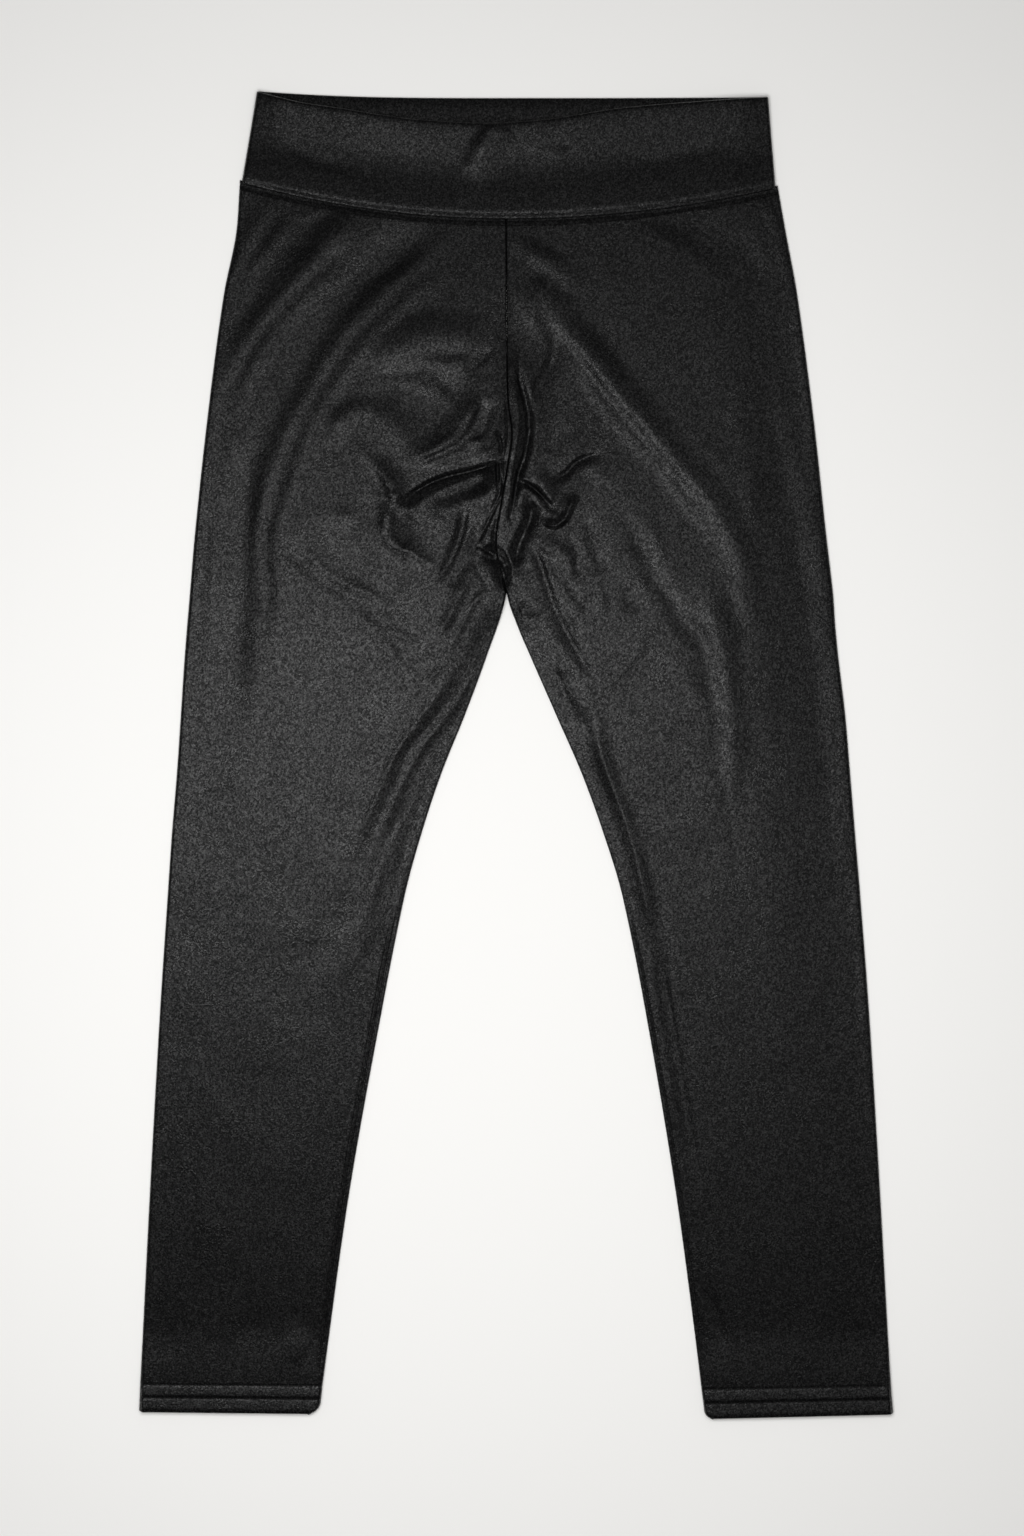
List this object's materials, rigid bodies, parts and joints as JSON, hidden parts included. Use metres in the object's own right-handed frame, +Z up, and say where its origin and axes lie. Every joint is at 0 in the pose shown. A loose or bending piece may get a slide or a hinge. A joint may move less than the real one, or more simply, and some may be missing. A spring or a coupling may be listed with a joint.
{
  "type": "leggings",
  "caption": "Pull-on leggings in coated knit laid flat, with one-piece legs folded at the sides, turned hems and a wide doubled waistband.",
  "frame": {"origin": "middle of the footprint, on the surface that the cloth lies on", "axes": "+Z up from the surface, +Y up the garment towards the waist, +X towards the wearer's left leg, front side up"},
  "size_m": [0.5576, 0.9807, 0.0118],
  "materials": {
    "leg_cloth": "black coated knit with a fine pebbled grain and a soft low sheen",
    "band_cloth": "the same black coated knit, doubled"
  },
  "bodies": {
    "root": {"right_leg": "leg_cloth", "left_leg": "leg_cloth", "waistband": "band_cloth"}
  },
  "joints": []
}
